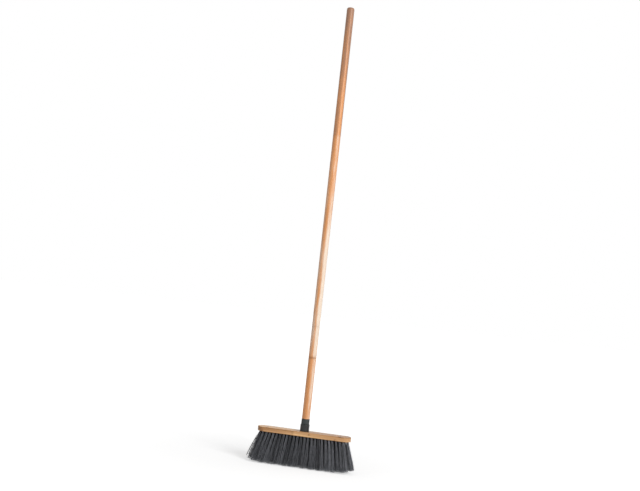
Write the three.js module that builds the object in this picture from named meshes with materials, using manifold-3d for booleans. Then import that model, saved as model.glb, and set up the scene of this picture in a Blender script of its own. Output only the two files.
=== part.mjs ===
// Upright broom: a laminated bamboo stick that screws into a bamboo brush block with four rows of tufts.
// Millimetres, +Z up. The floor is z = 0 and the stick stands on the Z axis, with the block along X.
import * as THREE from "three";
import { mergeVertices } from "three/addons/utils/BufferGeometryUtils.js";
import Module from "manifold-3d";

const wasm = await Module();
wasm.setup();

// Clearances
const PIECE_GAP = 0.3; // between pieces that are fixed to each other
const THREAD_GAP = 0.4; // around the male thread in the socket

// Bamboo stick
const STICK_DIAMETER = 22;
const STICK_LENGTH = 1200;
const STICK_END_ROUND = 6;
const TENON_LENGTH = 12.5;

// Grey sleeve over the stick's tenon
const SLEEVE_PROUD = 0.5; // how far the sleeve stands out from the stick
const SLEEVE_WALL = 1.5;
const SLEEVE_LENGTH = 15;
const SLEEVE_CHAMFER = 0.5;

// Threaded end: a male thread below, a shank glued into the stick above, and the pin that locks them
const THREAD_DIAMETER = 20;
const THREAD_LENGTH = 12.5;
const THREAD_LEAD_IN = 1.5;
const SHANK_DIAMETER = 10;
const SHANK_LENGTH = 26;
const PIN_DIAMETER = 3;

// Black socket that stands on the block
const SOCKET_WALL = 2.6;
const SOCKET_HEIGHT = 19.5;
const SOCKET_CHAMFER = 0.8;
const THREAD_RUN_OUT = 1; // free depth under the male thread

// Screws that hold the socket, driven up through the block
const SCREW_DIAMETER = 3.5;
const SCREW_HEAD_DIAMETER = 6.6;
const SCREW_HEAD_HEIGHT = 2.2;
const SCREW_HEAD_FLAT = 4; // across the flat underside of the head
const SCREW_POINT = 3.5; // length of the tapered point
const SCREW_BITE = 4.2; // length in the socket's base
const SCREW_EDGE = 3.2; // from the socket's outside to the screw's axis

// Bamboo block
const BLOCK_LENGTH = 268;
const BLOCK_DEPTH = 42;
const BLOCK_THICKNESS = 13;
const BLOCK_EDGE_ROUND = 1.5;
const BLOCK_RIM = 3.2; // solid edge round the drilled field

// Tufts: their grid in the block, their fan and their trim
const ROW_NAMES = ["back", "mid_back", "mid_front", "front"];
const COLUMN_PITCH = 9.9;
const TUFT_DIAMETER = 5.2;
const TUFT_EDGE = 7; // from the block's edge to the nearest tuft's centre
const TUFT_HOLE_DEPTH = 8.5;
const TUFT_SLICE = 3; // the drilled layer that a row's strands are fused to
const BRISTLE_HEIGHT = 87;
const END_FLARE = 14.2; // degrees, outermost column
const SIDE_FLARE = 8; // degrees, outermost row
const STRAND_GAP = 0.2; // between a tuft's strands where they leave the block
const STRAND_TIP = 3.2; // a strand stands for a bundle of filaments that spreads to this width
const STRAND_SPREAD_X = 7; // between a tuft's strands at their tips, along the block
const STRAND_SPREAD_Y = 8.4; // the same, across the block
const END_RISE = 9; // how far the outermost tips clear the floor
const RISE_POWER = 8; // even; how late towards the ends the tips start to rise
const TIP_TRIM = 0.5; // cut off the middle tips, flat on the floor

// Facets
const ROUND_FACETS = 32;
const SCREW_FACETS = 16;
const TUFT_FACETS = 5;
const STRAND_FACETS = 3;
const END_ARC_STEPS = 20;
const ROUND_STEPS = 5;

// Sizes that follow from the driving ones
const sleeveRadius = STICK_DIAMETER / 2 + SLEEVE_PROUD;
const sleeveBore = sleeveRadius - SLEEVE_WALL;
const tenonRadius = sleeveBore - PIECE_GAP;
const threadRadius = THREAD_DIAMETER / 2;
const socketBore = threadRadius + THREAD_GAP;
const socketRadius = socketBore + SOCKET_WALL;
const socketBase = SOCKET_HEIGHT - THREAD_LENGTH - THREAD_RUN_OUT;
const shoulderHeight = SLEEVE_LENGTH + PIECE_GAP; // the stick's shoulder above the sleeve's foot
const flangeHeight = SLEEVE_LENGTH - TENON_LENGTH;
const screwOffset = socketRadius - SCREW_EDGE;
const notchRadius = SCREW_HEAD_DIAMETER / 2 + PIECE_GAP;
const pocketDepth = TUFT_SLICE + PIECE_GAP;
const rowPitch = (BLOCK_DEPTH - 2 * BLOCK_RIM) / ROW_NAMES.length;
const outerRow = (rowPitch * (ROW_NAMES.length - 1)) / 2;
const tuftRadius = TUFT_DIAMETER / 2;
const strandRadius = (TUFT_DIAMETER / 2 - STRAND_GAP) / 2;
const floorLevel = -BRISTLE_HEIGHT; // seen from the block's underside

const materials = {
  bambooStick: new THREE.MeshStandardMaterial({ color: 0xc08a5e, roughness: 0.5, metalness: 0 }),
  bambooBlock: new THREE.MeshStandardMaterial({ color: 0xc4945c, roughness: 0.5, metalness: 0 }),
  greyPlastic: new THREE.MeshStandardMaterial({ color: 0x5c5e62, roughness: 0.45, metalness: 0 }),
  darkPlastic: new THREE.MeshStandardMaterial({ color: 0x3a3b3e, roughness: 0.5, metalness: 0 }),
  blackPlastic: new THREE.MeshStandardMaterial({ color: 0x1c1d1f, roughness: 0.18, metalness: 0 }),
  bristle: new THREE.MeshStandardMaterial({ color: 0x3f4145, roughness: 0.6, metalness: 0 }),
  steel: new THREE.MeshStandardMaterial({ color: 0xb4b6b8, roughness: 0.35, metalness: 1 }),
};

// A closed geometry as a solid that can be joined and cut.
function solidFrom(geometry) {
  const bare = geometry.index ? geometry.toNonIndexed() : geometry.clone();
  bare.deleteAttribute("normal");
  bare.deleteAttribute("uv");
  const merged = mergeVertices(bare, 1e-4);
  return new wasm.Manifold(
    new wasm.Mesh({
      numProp: 3,
      vertProperties: merged.attributes.position.array,
      triVerts: new Uint32Array(merged.index.array),
    }),
  );
}

// A solid as a geometry that can be drawn.
function geometryFrom(solid) {
  const { vertProperties, triVerts } = solid.getMesh();
  const geometry = new THREE.BufferGeometry();
  geometry.setAttribute("position", new THREE.BufferAttribute(vertProperties, 3));
  geometry.setIndex(new THREE.BufferAttribute(triVerts, 1));
  return geometry.toNonIndexed();
}

function named(name, geometry, material) {
  geometry.computeVertexNormals();
  const mesh = new THREE.Mesh(geometry, material);
  mesh.name = name;
  return mesh;
}

// A turned piece from its outline of [radius, height] points, from the axis up and back to the axis.
function turned(outline, facets = ROUND_FACETS) {
  const points = outline.map(([radius, height]) => new THREE.Vector2(radius, height));
  return new THREE.LatheGeometry(points, facets).rotateX(Math.PI / 2);
}

// A straight round bar along Z between two heights.
function bar(radius, low, high, facets = ROUND_FACETS) {
  return new THREE.CylinderGeometry(radius, radius, high - low, facets)
    .rotateX(Math.PI / 2)
    .translate(0, 0, (low + high) / 2);
}

// A plate with half-round ends, lying along X, from its underside at z = 0.
function stadiumPlate(length, depth, thickness, edgeRound = 0) {
  const radius = depth / 2;
  const straight = length / 2 - radius;
  const outline = new THREE.Shape();
  outline.absarc(straight, 0, radius, -Math.PI / 2, Math.PI / 2);
  outline.absarc(-straight, 0, radius, Math.PI / 2, (3 * Math.PI) / 2);
  return new THREE.ExtrudeGeometry(outline, {
    depth: thickness - 2 * edgeRound,
    curveSegments: END_ARC_STEPS,
    bevelEnabled: edgeRound > 0,
    bevelThickness: edgeRound,
    bevelSize: edgeRound,
    bevelOffset: -edgeRound,
    bevelSegments: 2,
  }).translate(0, 0, edgeRound);
}

// Stick: full round with a rounded top, a tenon at its foot and a blind hole for the shank.
// Its local origin is the shoulder above the tenon.
function handleStick() {
  const radius = STICK_DIAMETER / 2;
  const foot = -TENON_LENGTH;
  const top = STICK_LENGTH - TENON_LENGTH;
  const boreRadius = SHANK_DIAMETER / 2 + PIECE_GAP;
  const boreTop = foot + SHANK_LENGTH + PIECE_GAP;
  const outline = [
    [0, boreTop],
    [boreRadius, boreTop],
    [boreRadius, foot],
    [tenonRadius, foot],
    [tenonRadius, 0],
    [radius, 0],
  ];
  for (let step = 0; step <= ROUND_STEPS; step++) {
    const angle = (step / ROUND_STEPS) * (Math.PI / 2);
    outline.push([
      radius - STICK_END_ROUND * (1 - Math.cos(angle)),
      top - STICK_END_ROUND * (1 - Math.sin(angle)),
    ]);
  }
  outline.push([0, top]);
  return geometryFrom(solidFrom(turned(outline)).subtract(pinHole()));
}

// The pin's place, halfway up the tenon, seen from the stick's shoulder.
const pinHeight = -TENON_LENGTH / 2;

function pinHole() {
  const reach = STICK_DIAMETER;
  const hole = bar(PIN_DIAMETER / 2 + PIECE_GAP, -reach, reach, SCREW_FACETS);
  return solidFrom(hole.rotateY(Math.PI / 2).translate(0, 0, pinHeight));
}

// The pin lies along X and stays inside the tenon, under the sleeve.
function lockingPin() {
  const reach = tenonRadius - PIECE_GAP;
  return bar(PIN_DIAMETER / 2, -reach, reach, SCREW_FACETS).rotateY(Math.PI / 2);
}

// Threaded end. Its local origin is the top of the male thread, where the flange inside the sleeve starts.
function threadedEnd() {
  const shankRadius = SHANK_DIAMETER / 2;
  const shankTop = flangeHeight + PIECE_GAP + SHANK_LENGTH;
  const outline = [
    [0, -THREAD_LENGTH],
    [threadRadius - THREAD_LEAD_IN, -THREAD_LENGTH],
    [threadRadius, -THREAD_LENGTH + THREAD_LEAD_IN],
    [threadRadius, -PIECE_GAP],
    [tenonRadius, -PIECE_GAP],
    [tenonRadius, flangeHeight],
    [shankRadius, flangeHeight],
    [shankRadius, shankTop],
    [0, shankTop],
  ];
  const hole = pinHole().translate([0, 0, shoulderHeight]);
  return geometryFrom(solidFrom(turned(outline)).subtract(hole));
}

// Sleeve: a plain tube with chamfered rims.
function ferruleSleeve() {
  return turned([
    [sleeveBore, 0],
    [sleeveRadius - SLEEVE_CHAMFER, 0],
    [sleeveRadius, SLEEVE_CHAMFER],
    [sleeveRadius, SLEEVE_LENGTH - SLEEVE_CHAMFER],
    [sleeveRadius - SLEEVE_CHAMFER, SLEEVE_LENGTH],
    [sleeveBore, SLEEVE_LENGTH],
    [sleeveBore, 0],
  ]);
}

// Socket: a cup with a solid base that takes the screws.
function handleSocket() {
  const cup = turned([
    [0, 0],
    [socketRadius, 0],
    [socketRadius, SOCKET_HEIGHT - SOCKET_CHAMFER],
    [socketRadius - SOCKET_CHAMFER, SOCKET_HEIGHT],
    [socketBore, SOCKET_HEIGHT],
    [socketBore, socketBase],
    [0, socketBase],
  ]);
  const pilots = screwPlaces().map((x) =>
    solidFrom(
      bar(SCREW_DIAMETER / 2 + PIECE_GAP, -PIECE_GAP, SCREW_BITE + PIECE_GAP, SCREW_FACETS).translate(x, 0, 0),
    ),
  );
  return geometryFrom(solidFrom(cup).subtract(wasm.Manifold.union(pilots)));
}

function screwPlaces() {
  return [-screwOffset, screwOffset];
}

// Screw: pan head below, plain shank and point above. Its local origin is the head's seat.
function socketScrew() {
  const radius = SCREW_DIAMETER / 2;
  const head = SCREW_HEAD_DIAMETER / 2;
  const tip = BLOCK_THICKNESS - pocketDepth + SCREW_BITE;
  return turned(
    [
      [0, -SCREW_HEAD_HEIGHT],
      [SCREW_HEAD_FLAT / 2, -SCREW_HEAD_HEIGHT],
      [head, -SCREW_HEAD_HEIGHT / 2],
      [head, 0],
      [radius, 0],
      [radius, tip - SCREW_POINT],
      [0, tip],
    ],
    SCREW_FACETS,
  );
}

// Furthest place along X for a tuft in a row, inside the block's round end.
function rowReach(y) {
  const endRadius = BLOCK_DEPTH / 2 - TUFT_EDGE;
  const across = Math.max(0, endRadius ** 2 - y ** 2);
  return BLOCK_LENGTH / 2 - BLOCK_DEPTH / 2 + Math.sqrt(across);
}

function rowPlace(row) {
  return row * rowPitch - outerRow;
}

// Tuft places in a row: whole columns that fit, apart from any that a screw's head needs.
function tuftPlaces(row) {
  const y = -rowPlace(row);
  const places = [];
  for (let x = COLUMN_PITCH / 2; x <= rowReach(y); x += COLUMN_PITCH) {
    const free = Math.hypot(x - screwOffset, y) > notchRadius + tuftRadius;
    if (free) places.push([x, y], [-x, y]);
  }
  return places;
}

const tuftReach = Math.max(...ROW_NAMES.map((_, row) => rowReach(rowPlace(row))));

// How far a tuft's middle moves out between the block's underside and the floor.
function fan(place, reach, degrees) {
  return BRISTLE_HEIGHT * Math.tan(THREE.MathUtils.degToRad((degrees * place) / reach));
}

function tuftTip([x, y]) {
  return [x + fan(x, tuftReach, END_FLARE), y + fan(y, outerRow, SIDE_FLARE)];
}

// Trim: flat in the middle, rising smoothly to the block's ends.
const tipReach = tuftTip([tuftReach, 0])[0];

function tipHeight(x) {
  return floorLevel + END_RISE * (x / tipReach) ** RISE_POWER - TIP_TRIM;
}

// A straight strand between two points, with its ends cut square to it and a corner turned outwards.
function strand(from, to, fromRadius, toRadius, facets) {
  const facing = to.z < from.z === to.y > 0 ? 0 : Math.PI;
  const line = new THREE.Vector3().subVectors(to, from);
  const turn = new THREE.Quaternion().setFromUnitVectors(new THREE.Vector3(0, 1, 0), line.clone().normalize());
  const middle = new THREE.Vector3().addVectors(from, to).multiplyScalar(0.5);
  return new THREE.CylinderGeometry(toRadius, fromRadius, line.length(), facets, 1, false, facing)
    .applyQuaternion(turn)
    .translate(middle.x, middle.y, middle.z);
}

// The drilled hole of a tuft, or the tuft's root in it, on the tuft's own slant.
function tuftRoot(place, radius, low, high) {
  const [x, y] = place;
  const [tipX, tipY] = tuftTip(place);
  const slope = new THREE.Vector2((tipX - x) / floorLevel, (tipY - y) / floorLevel);
  const at = (z) => new THREE.Vector3(x + slope.x * z, y + slope.y * z, z);
  return solidFrom(strand(at(low), at(high), radius, radius, TUFT_FACETS));
}

// The four strands that stand for a tuft's filaments, from inside the slice to the trim.
function tuftStrands(place) {
  const [x, y] = place;
  const [tipX, tipY] = tuftTip(place);
  const rootOffset = TUFT_DIAMETER / 4;
  const strands = [];
  for (const sideX of [-1, 1]) {
    for (const sideY of [-1, 1]) {
      const endX = tipX + (sideX * STRAND_SPREAD_X) / 2;
      const endY = tipY + (sideY * STRAND_SPREAD_Y) / 2;
      const from = new THREE.Vector3(x + sideX * rootOffset, y + sideY * rootOffset, TUFT_SLICE / 2);
      const to = new THREE.Vector3(endX, endY, tipHeight(endX));
      strands.push(solidFrom(strand(from, to, strandRadius, STRAND_TIP / 2, STRAND_FACETS)));
    }
  }
  return strands;
}

// One row of tufts: its slice of the drilled layer, the roots above it and the strands below it.
function tuftRow(row) {
  const y = -rowPlace(row);
  const rim = 2 * (BLOCK_RIM + PIECE_GAP);
  const layer = solidFrom(stadiumPlate(BLOCK_LENGTH - rim, BLOCK_DEPTH - rim, TUFT_SLICE));
  const strip = new THREE.BoxGeometry(BLOCK_LENGTH, rowPitch - PIECE_GAP, 2 * BLOCK_THICKNESS).translate(0, y, 0);
  const slice = layer.intersect(solidFrom(strip)).subtract(wasm.Manifold.union(headNotches()));
  const rootTop = TUFT_HOLE_DEPTH - PIECE_GAP;
  const pieces = [slice];
  for (const place of tuftPlaces(row)) {
    pieces.push(tuftRoot(place, tuftRadius, TUFT_SLICE / 2, rootTop), ...tuftStrands(place));
  }
  const floor = new THREE.BoxGeometry(2 * BLOCK_LENGTH, 8 * BLOCK_DEPTH, BLOCK_DEPTH);
  floor.translate(0, 0, floorLevel - BLOCK_DEPTH / 2);
  return geometryFrom(wasm.Manifold.union(pieces).subtract(solidFrom(floor)));
}

// Round clearances for the screws' heads in the drilled layer.
function headNotches() {
  return screwPlaces().map((x) =>
    solidFrom(bar(notchRadius, -TUFT_SLICE, 2 * TUFT_SLICE, SCREW_FACETS).translate(x, 0, 0)),
  );
}

// Block: the board, less the drilled layer's pocket, the tuft holes above it and the screw holes.
function brushBlock() {
  const board = solidFrom(stadiumPlate(BLOCK_LENGTH, BLOCK_DEPTH, BLOCK_THICKNESS, BLOCK_EDGE_ROUND));
  const pocket = stadiumPlate(BLOCK_LENGTH - 2 * BLOCK_RIM, BLOCK_DEPTH - 2 * BLOCK_RIM, 2 * pocketDepth);
  const cuts = [solidFrom(pocket.translate(0, 0, -pocketDepth))];
  ROW_NAMES.forEach((_, row) => {
    for (const place of tuftPlaces(row)) {
      cuts.push(tuftRoot(place, tuftRadius + PIECE_GAP, pocketDepth / 2, TUFT_HOLE_DEPTH));
    }
  });
  for (const x of screwPlaces()) {
    const hole = bar(SCREW_DIAMETER / 2 + PIECE_GAP, 0, 2 * BLOCK_THICKNESS, SCREW_FACETS);
    cuts.push(solidFrom(hole.translate(x, 0, 0)));
  }
  return geometryFrom(board.subtract(wasm.Manifold.union(cuts)));
}

// Head: block, tufts, socket and screws, from the block's underside up.
const head = new THREE.Group();
head.position.z = BRISTLE_HEIGHT;
head.add(named("brush_block", brushBlock(), materials.bambooBlock));
ROW_NAMES.forEach((rowName, row) => {
  head.add(named(`tuft_row_${rowName}`, tuftRow(row), materials.bristle));
});
const socket = named("handle_socket", handleSocket(), materials.blackPlastic);
socket.position.z = BLOCK_THICKNESS + PIECE_GAP;
head.add(socket);
screwPlaces().forEach((x) => {
  const screw = named(x < 0 ? "socket_screw_left" : "socket_screw_right", socketScrew(), materials.steel);
  screw.position.set(x, 0, pocketDepth - PIECE_GAP);
  head.add(screw);
});

// Handle: sleeve, threaded end, pin and stick, from the socket's rim up.
const handle = new THREE.Group();
handle.position.z = BRISTLE_HEIGHT + socket.position.z + SOCKET_HEIGHT + PIECE_GAP;
handle.add(named("ferrule_sleeve", ferruleSleeve(), materials.greyPlastic));
handle.add(named("threaded_end", threadedEnd(), materials.darkPlastic));
const stick = named("handle_stick", handleStick(), materials.bambooStick);
stick.position.z = shoulderHeight;
handle.add(stick);
const pin = named("locking_pin", lockingPin(), materials.steel);
pin.position.z = shoulderHeight + pinHeight;
handle.add(pin);

const broom = new THREE.Group();
broom.name = "upright_broom";
broom.add(head, handle);

export default broom;
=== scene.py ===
"""Upright broom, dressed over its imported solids: metres, +Z up, the bristle tips on z = 0.

A laminated bamboo stick screws into a socket on a bamboo board, and the board carries four rows of tufts.
"""
import logging
import math
from dataclasses import dataclass
from enum import Enum
from functools import cache
from typing import Any, NamedTuple, Sequence

import bmesh
import bpy
from mathutils import Matrix, Vector


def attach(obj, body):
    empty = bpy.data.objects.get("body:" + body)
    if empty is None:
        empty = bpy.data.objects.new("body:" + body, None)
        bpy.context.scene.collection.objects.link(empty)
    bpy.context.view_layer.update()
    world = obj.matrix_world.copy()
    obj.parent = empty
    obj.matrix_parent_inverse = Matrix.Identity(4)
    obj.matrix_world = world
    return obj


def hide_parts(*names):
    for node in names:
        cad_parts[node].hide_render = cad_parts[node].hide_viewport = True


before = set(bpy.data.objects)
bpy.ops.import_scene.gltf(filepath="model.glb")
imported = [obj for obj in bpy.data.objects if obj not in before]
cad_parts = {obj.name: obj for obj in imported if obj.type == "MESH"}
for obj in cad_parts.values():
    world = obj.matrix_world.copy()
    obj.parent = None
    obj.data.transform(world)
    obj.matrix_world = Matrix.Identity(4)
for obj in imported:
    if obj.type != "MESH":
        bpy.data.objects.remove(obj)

LOG = logging.getLogger("upright_broom")
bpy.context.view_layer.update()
MM = 0.001
SRGB_KNEE, SRGB_SLOPE, SRGB_OFFSET, SRGB_POWER = 0.04045, 12.92, 0.055, 2.4
GOLDEN_ANGLE = 2.399963
ON_AXIS = 1e-7

Colour = tuple[float, float, float, float]
Socket = bpy.types.NodeSocket


class Kind(Enum):
    """What a tree's named input or output carries."""

    NUMBER = "NodeSocketFloat"
    COUNT = "NodeSocketInt"
    VECTOR = "NodeSocketVector"
    COLOUR = "NodeSocketColor"
    GEOMETRY = "NodeSocketGeometry"
    MATERIAL = "NodeSocketMaterial"


class Grain(Enum):
    """How a bamboo piece's fibres run, as the turn that brings them onto Z."""

    UPRIGHT = (0.0, 0.0, math.radians(24))
    ALONG_BLOCK = (0.0, math.radians(-90), 0.0)


class Row(Enum):
    """The four rows of tufts and where they stand across the board."""

    FRONT = -13.35 * MM
    MID_FRONT = -4.45 * MM
    MID_BACK = 4.45 * MM
    BACK = 13.35 * MM


def paint(code: str) -> Colour:
    """Turns a colour code into linear light.

    Args:
        code: Six hexadecimal digits, red first.

    Returns:
        Red, green, blue and alpha, as shader sockets take them.
    """
    channels = [int(code[start:start + 2], 16) / 255 for start in (0, 2, 4)]
    red, green, blue = (
        c / SRGB_SLOPE if c <= SRGB_KNEE else ((c + SRGB_OFFSET) / (1 + SRGB_OFFSET)) ** SRGB_POWER
        for c in channels
    )
    return red, green, blue, 1.0


# Node trees


class Wiring:
    """Places and links the nodes of one tree."""

    def __init__(self, tree: bpy.types.NodeTree) -> None:
        """Keeps the tree."""
        self.tree = tree

    def feed(self, socket: Socket, value: Any) -> None:
        """Feeds one socket.

        Args:
            socket: The input to feed.
            value: Another socket, a node whose first output is meant, or a plain value.
        """
        if isinstance(value, bpy.types.Node):
            value = value.outputs[0]
        if isinstance(value, bpy.types.NodeSocket):
            self.tree.links.new(value, socket)
        else:
            socket.default_value = value

    def node(self, kind: str, feeds: dict[str | int, Any] | None = None, **settings: Any) -> bpy.types.Node:
        """Adds a node.

        Args:
            kind: The node's type.
            feeds: What goes into its inputs, by name or place.
            **settings: The node's own properties.

        Returns:
            The new node.
        """
        node = self.tree.nodes.new(kind)
        for name, value in settings.items():
            setattr(node, name, value)
        for key, value in (feeds or {}).items():
            self.feed(node.inputs[key], value)
        return node

    def math(self, operation: str, *values: Any) -> Socket:
        """Adds a number operation and returns its result."""
        return self.node("ShaderNodeMath", dict(enumerate(values)), operation=operation).outputs[0]

    def total(self, onto: Any, *parts: tuple[Any, Any]) -> Socket:
        """Returns a number plus other numbers, each times its own amount."""
        for value, amount in parts:
            onto = self.math("MULTIPLY_ADD", value, amount, onto)
        return onto

    def off_half(self, value: Any) -> Socket:
        """Returns a number less one half."""
        return self.math("SUBTRACT", value, 0.5)

    def fold(self, value: Any) -> Socket:
        """Returns how far a number's fraction is from one half."""
        return self.math("ABSOLUTE", self.off_half(self.math("FRACT", value)))

    def vector(self, operation: str, *values: Any) -> Socket:
        """Adds a vector operation and returns the vector it gives."""
        return self.node("ShaderNodeVectorMath", dict(enumerate(values)), operation=operation).outputs[0]

    def length(self, value: Any) -> Socket:
        """Returns a vector's length."""
        return self.node("ShaderNodeVectorMath", {0: value}, operation="LENGTH").outputs["Value"]

    def scaled(self, value: Any, factor: Any) -> Socket:
        """Returns a vector times a number."""
        return self.node("ShaderNodeVectorMath", {0: value, "Scale": factor}, operation="SCALE").outputs[0]

    def split(self, value: Any) -> list[Socket]:
        """Returns a vector's three parts."""
        return list(self.node("ShaderNodeSeparateXYZ", {0: value}).outputs)

    def join(self, x: Any, y: Any, z: Any) -> Socket:
        """Returns a vector made of three parts."""
        return self.node("ShaderNodeCombineXYZ", {0: x, 1: y, 2: z}).outputs[0]

    def ramp(self, value: Any, low: float, high: float, start: float = 0.0, end: float = 1.0) -> Socket:
        """Maps a range of values smoothly onto another.

        Args:
            value: What is mapped.
            low: The value at which the result is start.
            high: The value at which the result is end.
            start: The result at low.
            end: The result at high.

        Returns:
            The mapped value.
        """
        feeds = {"Value": value, "From Min": low, "From Max": high, "To Min": start, "To Max": end}
        return self.node("ShaderNodeMapRange", feeds, interpolation_type="SMOOTHSTEP").outputs[0]


class ShaderWiring(Wiring):
    """Places the nodes of a material or of a shader group."""

    def clamped(self, value: Any) -> Socket:
        """Returns a number held between 0 and 1."""
        return self.node("ShaderNodeClamp", {"Value": value}).outputs[0]

    def mix(self, factor: Any, first: Any, second: Any) -> Socket:
        """Returns two colours mixed by a factor."""
        return self.node("ShaderNodeMix", {0: factor, 6: first, 7: second}, data_type="RGBA").outputs[2]

    def noise(self, place: Any, stretch: tuple[float, float, float], detail: float = 2.0) -> Socket:
        """Returns a noise value.

        Args:
            place: Where the noise is read.
            stretch: Spots per metre along each axis.
            detail: How many finer layers it has.

        Returns:
            A value round 0.5.
        """
        at = self.vector("MULTIPLY", place, stretch)
        return self.node("ShaderNodeTexNoise", {"Vector": at, "Scale": 1.0, "Detail": detail}).outputs[0]


class ShaderGroup(ShaderWiring):
    """A shader node group with named inputs and outputs, built once and placed in several materials."""

    def __init__(self, name: str, inputs: dict[str, Kind], outputs: dict[str, Kind]) -> None:
        """Starts the group.

        Args:
            name: The group's name.
            inputs: Its inputs.
            outputs: Its outputs.
        """
        tree = bpy.data.node_groups.new(name, "ShaderNodeTree")
        super().__init__(tree)
        for in_out, sockets in (("INPUT", inputs), ("OUTPUT", outputs)):
            for label, kind in sockets.items():
                tree.interface.new_socket(label, in_out=in_out, socket_type=kind.value)
        self.inputs = self.node("NodeGroupInput").outputs

    def close(self, values: dict[str, Any]) -> bpy.types.NodeTree:
        """Feeds the group's outputs and returns its tree."""
        self.node("NodeGroupOutput", values)
        return self.tree


class GeometryTree(Wiring):
    """A Geometry Nodes tree with named inputs, whose result becomes a piece's plain mesh."""

    def __init__(self, name: str, sizes: dict[str, Kind]) -> None:
        """Starts the tree.

        Args:
            name: The tree's name.
            sizes: Its inputs, apart from the geometry and the material.
        """
        tree = bpy.data.node_groups.new(name, "GeometryNodeTree")
        super().__init__(tree)
        for label, kind in {"Geometry": Kind.GEOMETRY, **sizes, "Material": Kind.MATERIAL}.items():
            tree.interface.new_socket(label, in_out="INPUT", socket_type=kind.value)
        tree.interface.new_socket("Geometry", in_out="OUTPUT", socket_type=Kind.GEOMETRY.value)
        self.inputs = self.node("NodeGroupInput").outputs

    def place(self) -> Socket:
        """Returns where each point is."""
        return self.node("GeometryNodeInputPosition").outputs[0]

    def attribute(self, name: str, data_type: str = "FLOAT") -> Socket:
        """Returns a named attribute of the geometry."""
        return self.node("GeometryNodeInputNamedAttribute", {"Name": name}, data_type=data_type).outputs[0]

    def store(self, geometry: Any, name: str, value: Any) -> bpy.types.Node:
        """Stores a number on the geometry's points under a name."""
        feeds = {"Geometry": geometry, "Name": name, "Value": value}
        return self.node("GeometryNodeStoreNamedAttribute", feeds, data_type="FLOAT", domain="POINT")

    def draw(self, data_type: str, feeds: dict[int, Any], step: int, owner: Any) -> bpy.types.Node:
        """Adds a random value.

        Args:
            data_type: What is drawn.
            feeds: The lowest and the highest value.
            step: How far its seed is past the tree's seed.
            owner: What shares one value, or None for a value for each point.

        Returns:
            The node.
        """
        feeds = {**feeds, "Seed": self.math("ADD", self.inputs["Seed"], step)}
        if owner is not None:
            feeds["ID"] = owner
        return self.node("FunctionNodeRandomValue", feeds, data_type=data_type)

    def chance(self, low: Any, high: Any, step: int, owner: Any = None) -> Socket:
        """Returns a random number between two others."""
        return self.draw("FLOAT", {2: low, 3: high}, step, owner).outputs[1]

    def scatter(self, step: int, owner: Any = None) -> Socket:
        """Returns a random vector between -1 and 1 on each axis."""
        return self.draw("FLOAT_VECTOR", {0: (-1.0, -1.0, -1.0), 1: (1.0, 1.0, 1.0)}, step, owner).outputs[0]

    def group_of(self, index: Any, count: Any) -> Socket:
        """Returns the number of the group that an index falls in, with a count in each group."""
        return self.math("FLOOR", self.math("DIVIDE", self.math("ADD", index, 0.5), count))

    def close(self, geometry: Any) -> "GeometryTree":
        """Ends the tree with its instances made real and its material set, and returns it."""
        real = self.node("GeometryNodeRealizeInstances", {"Geometry": geometry})
        feeds = {"Geometry": real, "Material": self.inputs["Material"]}
        self.node("NodeGroupOutput", {0: self.node("GeometryNodeSetMaterial", feeds)})
        return self

    def run(self, piece: bpy.types.Object, values: dict[str, Any]) -> None:
        """Runs the tree on a piece and keeps the result as the piece's own mesh.

        Args:
            piece: The piece whose mesh goes in.
            values: The values of the tree's inputs, among others.
        """
        modifier = piece.modifiers.new(self.tree.name, "NODES")
        modifier.node_group = self.tree
        for item in self.tree.interface.items_tree:
            if item.in_out == "INPUT" and item.name in values:
                modifier[item.identifier] = values[item.name]
        depsgraph = bpy.context.evaluated_depsgraph_get()
        ready = piece.evaluated_get(depsgraph)
        mesh = bpy.data.meshes.new_from_object(ready, preserve_all_data_layers=True, depsgraph=depsgraph)
        piece.modifiers.clear()
        piece.data = mesh


def as_inputs(values: dict[str, Any]) -> dict[str, Any]:
    """Returns a record's values under the names that a tree's inputs have."""
    return {name.replace("_", " ").title(): value for name, value in values.items()}


# Meshes


class Corner(NamedTuple):
    """A corner of a turned outline, with its rounding and the steps of the stretch that follows it."""

    radius: float
    height: float
    rounding: float = 0.0
    steps: int = 1


def outline(corners: Sequence[Corner], arc_steps: int) -> list[Vector]:
    """Rounds and divides a turned outline.

    Args:
        corners: The outline's corners in order.
        arc_steps: Steps in each rounding.

    Returns:
        Points of radius and height.
    """
    points: list[Vector] = []
    for place, corner in enumerate(corners):
        at = Vector(corner[:2])
        ahead = Vector(corners[(place + 1) % len(corners)][:2])
        if corner.rounding:
            start = at + (Vector(corners[place - 1][:2]) - at).normalized() * corner.rounding
            end = at + (ahead - at).normalized() * corner.rounding
            for step in range(arc_steps + 1):
                along = step / arc_steps
                points.append(start.lerp(at, along).lerp(at.lerp(end, along), along))
        else:
            points.append(at)
        leaving = points[-1]
        points.extend(leaving.lerp(ahead, step / corner.steps) for step in range(1, corner.steps))
    return points


def piece_from(shape: bmesh.types.BMesh, name: str) -> bpy.types.Object:
    """Makes an object of a finished shape and links it to the scene."""
    mesh = bpy.data.meshes.new(name)
    shape.to_mesh(mesh)
    shape.free()
    piece = bpy.data.objects.new(name, mesh)
    bpy.context.scene.collection.objects.link(piece)
    return piece


def bridge(shape: bmesh.types.BMesh, rings: Sequence[Sequence[bmesh.types.BMVert]]) -> None:
    """Joins each ring of points to the next one with faces."""
    for low, high in zip(rings, rings[1:]):
        for here in range(len(low)):
            there = (here + 1) % len(low)
            shape.faces.new(dict.fromkeys((low[here], low[there], high[there], high[here])))


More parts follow.
